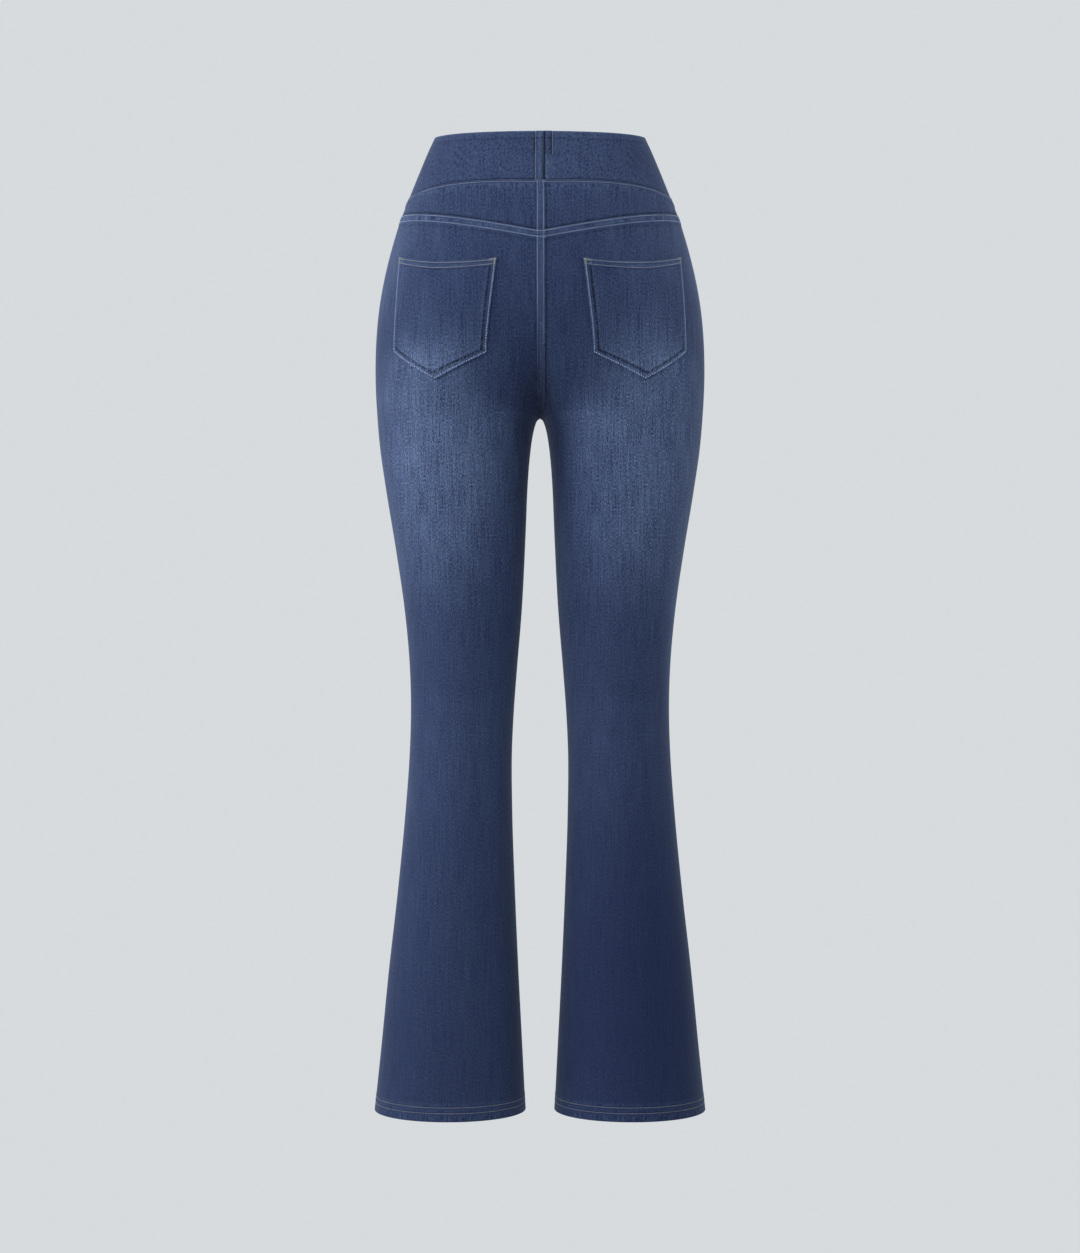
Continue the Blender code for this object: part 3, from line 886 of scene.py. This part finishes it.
def pocket_border_rows(inset, top):
    """The rows round the pockets' sides and point, at an inset from their edge."""
    low = POCKET_HEIGHT - inset / POCKET_SLANT
    down = np.linspace(top, low, 60)
    near, far = np.full(60, inset), np.full(60, POCKET_WIDTH - inset)
    across = np.concatenate([near, np.linspace(inset, POCKET_WIDTH - inset, 80), far])
    down = np.concatenate([down, np.full(80, low), down[::-1]])
    for side in SIDES:
        yield pocket_row(side, across, down)


def pocket_mouth_rows():
    for side in SIDES:
        for row in POCKET_MOUTH_ROWS:
            yield pocket_row(side, np.linspace(2, POCKET_WIDTH - 2, 60), np.full(60, row))


def bar_tacks():
    """Dense zigzags at the pockets' top corners."""
    run = np.linspace(0.6, 7.5, 23)
    zigzag = np.where(np.arange(23) % 2, 0.9, -0.9)
    for side in SIDES:
        for outer in (False, True):
            for across, down in ((run, 2.2 + zigzag), (1.7 + zigzag, 1.2 + run)):
                yield pocket_row(side, POCKET_WIDTH - across if outer else across, down)


class Graph:
    """A node tree, whose nodes are added and linked in one call each."""

    def __init__(self, tree):
        self.tree = tree

    def add(self, kind, *inputs, **settings):
        """A node whose inputs, in order, are values or other nodes' outputs. None leaves
        an input as it is. It gives the node's first output."""
        node = self.tree.nodes.new(kind)
        for key, value in settings.items():
            setattr(node, key, value)
        sockets = [socket for socket in node.inputs if socket.enabled]
        for socket, value in zip(sockets, inputs):
            self.feed(socket, value)
        return next(output for output in node.outputs if output.enabled)

    def feed(self, socket, value):
        if isinstance(value, bpy.types.NodeSocket):
            self.tree.links.new(value, socket)
        elif value is not None:
            socket.default_value = value


def stitch_tree():
    """Geometry nodes that sew a row: a thread's short spindle at each step of a line."""
    tree = bpy.data.node_groups.new("sewn_row", "GeometryNodeTree")
    face = tree.interface
    face.new_socket("Row", in_out="INPUT", socket_type="NodeSocketGeometry")
    for name, value in (("Pitch", 2.8 * MM), ("Length", 2.1 * MM), ("Width", 0.75 * MM)):
        socket = face.new_socket(name, in_out="INPUT", socket_type="NodeSocketFloat")
        socket.default_value = value
    face.new_socket("Thread", in_out="INPUT", socket_type="NodeSocketMaterial")
    face.new_socket("Sewn", in_out="OUTPUT", socket_type="NodeSocketGeometry")
    g = Graph(tree)
    given = tree.nodes.new("NodeGroupInput").outputs
    line = g.add("GeometryNodeMeshToCurve", given["Row"])
    even = g.add("GeometryNodeResampleCurve", line, None, given["Pitch"], mode="LENGTH")
    flatter = g.add("ShaderNodeMath", given["Width"], 0.75, operation="MULTIPLY")
    shape = g.add("ShaderNodeCombineXYZ", given["Length"], given["Width"], flatter)
    spindle = g.add("GeometryNodeMeshUVSphere", 6, 4, 0.5)
    sized = g.add("GeometryNodeTransform", spindle, None, None, shape)
    tangent = g.add("GeometryNodeInputTangent")
    upward = g.add("GeometryNodeInputNamedAttribute", "up", data_type="FLOAT_VECTOR")
    align = "FunctionNodeAlignRotationToVector"
    turn = g.add(align, None, None, tangent, axis="X")
    tilt = g.add(align, turn, None, upward, axis="Z", pivot_axis="X")
    vary = g.add("FunctionNodeRandomValue", 0.85, 1.12, None, 7, data_type="FLOAT")
    sewn = g.add("GeometryNodeInstanceOnPoints", even, None, sized, None, None, tilt, vary)
    sewn = g.add("GeometryNodeRealizeInstances", sewn)
    sewn = g.add("GeometryNodeSetShadeSmooth", sewn)
    sewn = g.add("GeometryNodeSetMaterial", sewn, None, given["Thread"])
    g.feed(tree.nodes.new("NodeGroupOutput").inputs["Sewn"], sewn)
    return tree


def sew(name, rows, thread, pitch, length, width):
    """Sews rows of points into one mesh of thread, and adds it to the garment."""
    points, ups, edges = [], [], []
    for row, directions in rows:
        first = sum(len(part) for part in points)
        points.append(row)
        ups.append(directions)
        edges += [(first + k, first + k + 1) for k in range(len(row) - 1)]
    mesh = bpy.data.meshes.new(name + "_lines")
    mesh.from_pydata(np.concatenate(points).tolist(), edges, [])
    attribute = mesh.attributes.new("up", "FLOAT_VECTOR", "POINT")
    attribute.data.foreach_set("vector", np.concatenate(ups).astype(np.float32).ravel())
    lines = bpy.data.objects.new(name + "_lines", mesh)
    bpy.context.scene.collection.objects.link(lines)
    tree = bpy.data.node_groups.get("sewn_row") or stitch_tree()
    modifier = lines.modifiers.new("sewn", "NODES")
    modifier.node_group = tree
    given = {"Pitch": pitch, "Length": length, "Width": width, "Thread": thread}
    for item in tree.interface.items_tree:
        if item.item_type == "SOCKET" and item.in_out == "INPUT" and item.name in given:
            modifier[item.identifier] = given[item.name]
    evaluated = lines.evaluated_get(bpy.context.evaluated_depsgraph_get())
    sewn = bpy.data.objects.new(name, bpy.data.meshes.new_from_object(evaluated))
    bpy.data.objects.remove(lines)
    bpy.context.scene.collection.objects.link(sewn)
    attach(sewn, BODY)


# Finishes.


class Finish(Graph):
    """A material's nodes."""

    def __init__(self, name):
        self.material = bpy.data.materials.new(name)
        self.material.use_nodes = True
        super().__init__(self.material.node_tree)

    def math(self, operation, *inputs):
        return self.add("ShaderNodeMath", *inputs, operation=operation)

    def noise(self, vector, across, up, detail=2.0, roughness=0.5):
        """Noise over the cloth, with this many lumps a millimetre each way."""
        scale = (across, up, 1.0)
        stretched = self.add("ShaderNodeVectorMath", vector, scale, operation="MULTIPLY")
        return self.add("ShaderNodeTexNoise", stretched, 1.0, detail, roughness)

    def attribute(self, name):
        return self.add("ShaderNodeAttribute", attribute_name=name).node.outputs["Fac"]

    def place(self):
        """Object coordinates."""
        return self.add("ShaderNodeTexCoord").node.outputs["Object"]

    def cloth_place(self):
        """The cloth's own coordinates, in millimetres."""
        uv = self.add("ShaderNodeUVMap", uv_map="cloth")
        scale = (1000.0, 1000.0, 0.0)
        return self.add("ShaderNodeVectorMath", uv, scale, operation="MULTIPLY")

    def blend(self, share, low, high):
        low, high = (*low, 1.0), (*high, 1.0)
        return self.add("ShaderNodeMix", share, low, high, data_type="RGBA")

    def roughen(self, height, strength, depth):
        """Lays a bump of this depth over the cloth."""
        node = self.add("ShaderNodeBump", strength, depth).node
        self.feed(node.inputs["Height"], height)
        self.set("Normal", node.outputs["Normal"])

    def set(self, name, value):
        self.feed(self.tree.nodes["Principled BSDF"].inputs[name], value)


def denim(name):
    """Washed stretch denim: twill, slubs along the warp, flecks of weft, fades with painted
    light and shade among them, and pale ridges beside dark ditches at the seams, the ridges
    worn with painted highlights on folded edges and the ditches darkened by painted shadow and
    unworn indigo."""
    found = bpy.data.materials.get(name)
    if found:
        return found
    slub, diagonal, slanted, uneven = DENIMS[name]
    cloth = bpy.context.scene.jeans_cloth
    g = Finish(name)
    place = g.cloth_place()
    wear, edge = g.attribute("wear"), g.attribute("edge")
    short = g.noise(place, 0.95, 0.45, 0.0)
    grain = g.noise(place, 1.0, 0.9, 0.0)
    turned = g.add("ShaderNodeMapping", place, None, (0.0, 0.0, -0.82))
    twill = g.add("ShaderNodeTexWave", turned, 0.4, 0.8, 1.0, bands_direction="Y")
    # The gathers along the sewing, upright but for those that lean over at the middle.
    across = g.add("ShaderNodeSeparateXYZ", g.place())
    on_lap = g.math("LESS_THAN", g.math("ABSOLUTE", across), slanted)
    upright, leaning = g.noise(place, 0.40, 0.16, 1.0), g.noise(turned, 0.25, 0.75, 1.0)
    gathers = g.add("ShaderNodeMix", on_lap, upright, leaning)
    gathers = g.math("MULTIPLY_ADD", gathers, uneven, 0.5 - 0.5 * uneven)
    # Layers of wear: lumps a millimetre each way, detail, roughness, middle and amount.
    texture = 0.0
    for layer, middle, amount in (
        (g.math("MULTIPLY", short, short), 0.26, 2.6 * slub),
        (g.noise(place, 0.85, 0.028, 1.0, 0.6), 0.5, 2.0 * slub),
        (g.noise(place, 0.11, 0.008), 0.5, 0.8 * slub),
        (g.noise(place, 0.05, 0.60), 0.5, 0.15),
        (g.noise(place, 0.035, 0.025, 3.0), 0.5, 0.6),
        (g.noise(turned, 0.25, 0.95, 0.0), 0.5, 2.7 * diagonal),
    ):
        texture = g.math("MULTIPLY_ADD", g.math("SUBTRACT", layer, middle), amount, texture)
    # The lower legs are smoother.
    up = g.add("ShaderNodeSeparateXYZ", place).node.outputs["Y"]
    depth = g.add("ShaderNodeMapRange", up, 480.0, 640.0, 0.68, 0.98)
    texture = g.math("MULTIPLY", texture, depth)
    # How faded the cloth shows: the wear values, which carry painted light and shade as well,
    # roughened by the texture; raised seams are paler, from wear with painted highlights on
    # folded edges.
    fade_and_shade = g.math("MULTIPLY_ADD", texture, g.math("ADD", wear, 0.03), wear)
    gathered = g.math("MULTIPLY_ADD", gathers, 6.5, -2.7)
    raised = g.math("MULTIPLY", g.math("MAXIMUM", edge, 0.0), gathered)
    fade_and_shade = g.math("MULTIPLY_ADD", raised, cloth.abrasion, fade_and_shade)
    fade_and_shade = g.math("MINIMUM", g.math("MAXIMUM", fade_and_shade, 0.0), 1.0)
    fleck = g.math("MULTIPLY_ADD", grain, 0.4, 0.80)
    fleck = g.math("MULTIPLY", fleck, g.math("MULTIPLY_ADD", twill, 0.16, 0.92))
    # Darker in the ditches, by the negative edge values: painted shadow and shade at seams,
    # folded edges and rows, with unworn indigo, broken up by the gathers.
    sunk = g.math("MULTIPLY_ADD", gathers, 3.0, -0.9)
    ditch = g.math("MULTIPLY_ADD", g.math("MINIMUM", edge, 0.0), sunk, 1.0)
    fleck = g.math("MULTIPLY", fleck, g.math("MAXIMUM", ditch, 0.15))
    colour = g.blend(fade_and_shade, cloth.deep, cloth.washed)
    g.set("Base Color", g.add("ShaderNodeVectorMath", colour, fleck, operation="MULTIPLY"))
    height = g.math("MULTIPLY_ADD", twill, 0.3, g.math("MULTIPLY", grain, 0.3))
    height = g.math("MULTIPLY_ADD", short, 0.6, height)
    height = g.math("MULTIPLY_ADD", raised, 0.9, height)
    g.roughen(height, 0.45, 0.35 * MM)
    g.set("Roughness", 0.86)
    g.set("Specular IOR Level", 0.2)
    g.set("Sheen Weight", 0.42)
    g.set("Sheen Roughness", 0.35)
    g.set("Sheen Tint", (0.62, 0.72, 1.0, 1.0))
    return g.material


def denim_inside():
    """The cloth's back, where the pale weft shows."""
    found = bpy.data.materials.get("denim_back")
    if found:
        return found
    cloth = bpy.context.scene.jeans_cloth
    g = Finish("denim_back")
    place = g.cloth_place()
    grain = g.noise(place, 1.2, 1.2, 2.0, 0.6)
    streaks = g.noise(place, 0.9, 0.08)
    slant = g.add("ShaderNodeMapping", place, None, (0.0, 0.0, -0.95))
    twill = g.add("ShaderNodeTexWave", slant, 0.26, 1.2, 1.0)
    tone = g.math("MULTIPLY_ADD", grain, 0.5, g.math("MULTIPLY", streaks, 0.4))
    g.set("Base Color", g.blend(tone, cloth.washed, cloth.weft))
    g.roughen(g.math("ADD", grain, twill), 0.5, 0.3 * MM)
    g.set("Roughness", 0.9)
    g.set("Specular IOR Level", 0.2)
    return g.material


def thread(name, colour, stained=False):
    """Spun polyester thread: two plies twisted, slightly shiny. Thread made with the third
    argument set is painted darker towards the crotch: painted shade in the fold there."""
    g = Finish("thread_" + name)
    place = g.place()
    plies = g.add("ShaderNodeTexWave", place, 900.0, 2.0)
    specks = g.add("ShaderNodeTexNoise", place, 700.0)
    tone = g.math("MULTIPLY_ADD", specks, 0.5, g.math("MULTIPLY_ADD", plies, 0.25, 0.6))
    if stained:
        # Painted shade: the thread darkens towards the crotch.
        drop = g.add("ShaderNodeSeparateXYZ", place).node.outputs["Z"]
        crotch_shade_factor = g.add("ShaderNodeMapRange", drop, -0.245, -0.150, 0.22, 1.0)
        tone = g.math("MULTIPLY", tone, crotch_shade_factor)
    g.set("Base Color", g.add("ShaderNodeVectorMath", colour, tone, operation="MULTIPLY"))
    g.set("Roughness", 0.6)
    g.set("Specular IOR Level", 0.35)
    return g.material


# What a user may change.


def colour_property(name, description, colour):
    """A colour, given as it is displayed, from 0 to 255."""
    values = np.asarray(colour) / 255
    light = np.where(values <= 0.04045, values / 12.92, ((values + 0.055) / 1.055) ** 2.4)
    default = tuple(light.tolist())
    return bpy.props.FloatVectorProperty(
        name=name, description=description, default=default, subtype="COLOR", min=0.0, max=1.0
    )


def length_property(name, description, default):
    return bpy.props.FloatProperty(
        name=name, description=description, default=default, unit="LENGTH", min=0.0
    )


class JeansCloth(bpy.types.PropertyGroup):
    """Colours of the denim."""

    deep: colour_property("Deep indigo", "Unworn denim", (31, 44, 81))
    washed: colour_property("Washed indigo", "Denim worn pale", (110, 131, 171))
    weft: colour_property("Weft", "The pale back of the cloth", (170, 180, 200))
    abrasion: bpy.props.FloatProperty(
        name="Abrasion", description="How pale the raised seams are", default=0.30, min=0.0
    )


class JeansThread(bpy.types.PropertyGroup):
    """Colours and sizes of the sewing."""

    pale: colour_property("Pale thread", "Rows on seams", (192, 214, 252))
    hem: colour_property("Hem thread", "Rows on the hems", (184, 190, 192))
    dark: colour_property("Dark thread", "The pockets' inner rows", (82, 96, 130))
    tack: colour_property("Tack thread", "The pockets' corners", (128, 134, 132))
    pitch: length_property("Stitch pitch", "From one stitch to the next", 2.8 * MM)
    length: length_property("Stitch length", "Thread that shows in a stitch", 1.55 * MM)
    width: length_property("Thread width", "Width of the thread", 1.0 * MM)


class JeansStudio(bpy.types.PropertyGroup):
    """The stage round the jeans."""

    ground: colour_property("Ground", "Floor and backdrop", (215, 219, 222))
    distance: length_property("Camera distance", "From the garment's axis", 3.1)
    eye: length_property("Camera height", "Above the hem", 0.526)
    power: bpy.props.FloatProperty(
        name="Light", description="Strength of the studio lights", default=1.0, min=0.0
    )


# Operators.


class JEANS_OT_legs(bpy.types.Operator):
    """Make the back and front leg panels"""

    bl_idname = "jeans.legs"
    bl_label = "Leg panels"

    def execute(self, context):
        for cut in (BACK_CUT, FRONT_CUT):
            for side in SIDES:
                make_piece(cut, side, 0.95, leg_rows, leg_skin)
        return {"FINISHED"}


class JEANS_OT_yokes(bpy.types.Operator):
    """Make the two yokes"""

    bl_idname = "jeans.yokes"
    bl_label = "Yokes"

    def execute(self, context):
        for side in SIDES:
            make_piece(YOKE_CUT, side, 0.97, yoke_rows, yoke_skin)
        return {"FINISHED"}


class JEANS_OT_waistband(bpy.types.Operator):
    """Make the waistband's front and two back pieces"""

    bl_idname = "jeans.waistband"
    bl_label = "Waistband"

    def execute(self, context):
        for side in SIDES:
            make_piece(BAND_BACK_CUT, side, 1.03, band_rows, band_skin)
        make_waistband_front()
        return {"FINISHED"}


class JEANS_OT_pockets(bpy.types.Operator):
    """Make the two patch pockets"""

    bl_idname = "jeans.pockets"
    bl_label = "Back pockets"

    def execute(self, context):
        for side in SIDES:
            make_pocket(side)
        return {"FINISHED"}


class JEANS_OT_sewing(bpy.types.Operator):
    """Sew the rows that show"""

    bl_idname = "jeans.sewing"
    bl_label = "Sewing"

    def execute(self, context):
        s = context.scene.jeans_thread
        pale, hem = thread("pale", s.pale), thread("hem", s.hem)
        dark, tack = thread("dark", s.dark), thread("tack", s.tack)
        # Pale thread for the middle rows, painted darker towards the crotch as painted shade.
        stained = thread("stained", s.pale, True)
        usual = (s.pitch, s.length, s.width)
        thin = (s.pitch, s.length, 0.75 * s.width)
        fine = (1.0 * MM, 1.7 * MM, 0.6 * MM)
        for name, rows, colour, size in (
            ("seams", yoke_seam_rows(), pale, usual),
            ("middle", centre_rows(), stained, thin),
            ("waist", waist_rows(), pale, thin),
            ("waist_middle", band_centre_rows(), hem, thin),
            ("hems", hem_rows(), hem, thin),
            ("pocket_mouths", pocket_mouth_rows(), hem, usual),
            ("pocket_sides", pocket_border_rows(POCKET_ROW, 1.5), pale, usual),
            ("pockets_inner", pocket_border_rows(POCKET_INNER_ROW, 9.5), dark, thin),
            ("tacks", bar_tacks(), tack, fine),
        ):
            sew("sewing_" + name, rows, colour, *size)
        return {"FINISHED"}


def area_light(name, place, aim, size, watts, spread=180):
    light = bpy.data.lights.new(name, "AREA")
    light.shape = "RECTANGLE"
    light.size, light.size_y = size
    light.energy = watts
    light.spread = np.radians(spread)
    lamp = bpy.data.objects.new(name, light)
    lamp.visible_camera = False
    lamp.location = place
    lamp.rotation_euler = (Vector(aim) - Vector(place)).to_track_quat("-Z", "Y").to_euler()
    bpy.context.scene.collection.objects.link(lamp)


FLOOR_DROP = 2.8  # the floor lies this far below the hem
STAGE_RADIUS = 8.0
STAGE_BEND = 2.5  # radius of the curve from the floor to the wall
STAGE_SIDES = 96


def backdrop(colour):
    """A round floor that curves up into a wall and a dome. It lights nothing."""
    floor = -WAIST_LEVEL - FLOOR_DROP
    bend, dome = np.radians(np.linspace(-90, 0, 13)), np.radians(np.linspace(15, 90, 6))
    middle = floor + STAGE_BEND
    profile = [(0.0, floor)]
    profile += [
        (STAGE_RADIUS + STAGE_BEND * (np.cos(turn) - 1), middle + STAGE_BEND * np.sin(turn))
        for turn in bend
    ]
    profile += [
        (STAGE_RADIUS * np.cos(turn), middle + STAGE_RADIUS * np.sin(turn)) for turn in dome
    ]
    build = bmesh.new()
    points = [build.verts.new((radius, 0.0, height)) for radius, height in profile]
    lines = [build.edges.new(pair) for pair in zip(points, points[1:])]
    bmesh.ops.spin(
        build, geom=points + lines, cent=(0, 0, 0), axis=(0, 0, 1), angle=2 * np.pi,
        steps=STAGE_SIDES, use_merge=True,
    )
    bmesh.ops.remove_doubles(build, verts=build.verts, dist=MM)
    mesh = bpy.data.meshes.new("backdrop")
    build.to_mesh(mesh)
    build.free()
    mesh.shade_smooth()
    g = Finish("backdrop")
    g.set("Base Color", (0.02, 0.02, 0.02, 1.0))
    g.set("Roughness", 0.95)
    g.set("Emission Color", (*colour, 1.0))
    g.set("Emission Strength", 0.985)
    g.set("Specular IOR Level", 0.0)
    mesh.materials.append(g.material)
    ground = bpy.data.objects.new("backdrop", mesh)
    bpy.context.scene.collection.objects.link(ground)
    for rays in ("diffuse", "glossy", "transmission", "volume_scatter", "shadow"):
        setattr(ground, "visible_" + rays, False)


class JEANS_OT_studio(bpy.types.Operator):
    """Set the backdrop, the lights and the camera"""

    bl_idname = "jeans.studio"
    bl_label = "Studio"

    def execute(self, context):
        scene = context.scene
        studio = scene.jeans_studio
        backdrop(studio.ground)
        eye = studio.eye - WAIST_LEVEL
        power = studio.power
        area_light("left_light", (-2.0, -0.55, 0.25), (0, 0, -0.25), (1.2, 1.6), 28 * power)
        area_light("right_light", (1.8, -0.60, 1.20), (0, 0, 0), (1.2, 1.2), 3.6 * power, 70)
        area_light("front_light", (-1.8, -3.2, 1.0), (0, 0, -0.2), (2.2, 1.8), 41 * power)
        world = scene.world or bpy.data.worlds.new("studio")
        scene.world = world
        world.use_nodes = True
        sky = world.node_tree.nodes["Background"]
        sky.inputs["Color"].default_value = (*studio.ground, 1.0)
        sky.inputs["Strength"].default_value = 0.49
        lens = bpy.data.cameras.new("camera")
        # One metre at the garment's axis is 917.4 of the picture's 1253 rows.
        lens.lens = lens.sensor_width * studio.distance * 917.4 / 1253
        camera = bpy.data.objects.new("camera", lens)
        camera.location = (0.0, -studio.distance, eye)
        camera.rotation_euler = (np.pi / 2, 0.0, 0.0)
        scene.collection.objects.link(camera)
        scene.camera = camera
        scene.view_settings.view_transform = "Standard"
        return {"FINISHED"}


OPERATORS = (
    JEANS_OT_legs,
    JEANS_OT_yokes,
    JEANS_OT_waistband,
    JEANS_OT_pockets,
    JEANS_OT_sewing,
    JEANS_OT_studio,
)


class JEANS_PT_panel(bpy.types.Panel):
    """The garment's pieces and settings"""

    bl_idname = "JEANS_PT_panel"
    bl_label = "Bootcut jeans"
    bl_space_type = "VIEW_3D"
    bl_region_type = "UI"
    bl_category = "Jeans"

    def draw(self, context):
        for operator in OPERATORS:
            self.layout.operator(operator.bl_idname)
        for settings in ("jeans_cloth", "jeans_thread", "jeans_studio"):
            group = getattr(context.scene, settings)
            for name in group.__annotations__:
                self.layout.prop(group, name)


GROUPS = {"jeans_cloth": JeansCloth, "jeans_thread": JeansThread, "jeans_studio": JeansStudio}
CLASSES = (*GROUPS.values(), *OPERATORS, JEANS_PT_panel)


def register():
    for item in CLASSES:
        bpy.utils.register_class(item)
    for name, group in GROUPS.items():
        setattr(bpy.types.Scene, name, bpy.props.PointerProperty(type=group))


def unregister():
    for name in GROUPS:
        delattr(bpy.types.Scene, name)
    for item in reversed(CLASSES):
        bpy.utils.unregister_class(item)


def main():
    register()
    for operator in OPERATORS:
        group, name = operator.bl_idname.split(".")
        getattr(getattr(bpy.ops, group), name)()


if __name__ == "__main__":
    main()
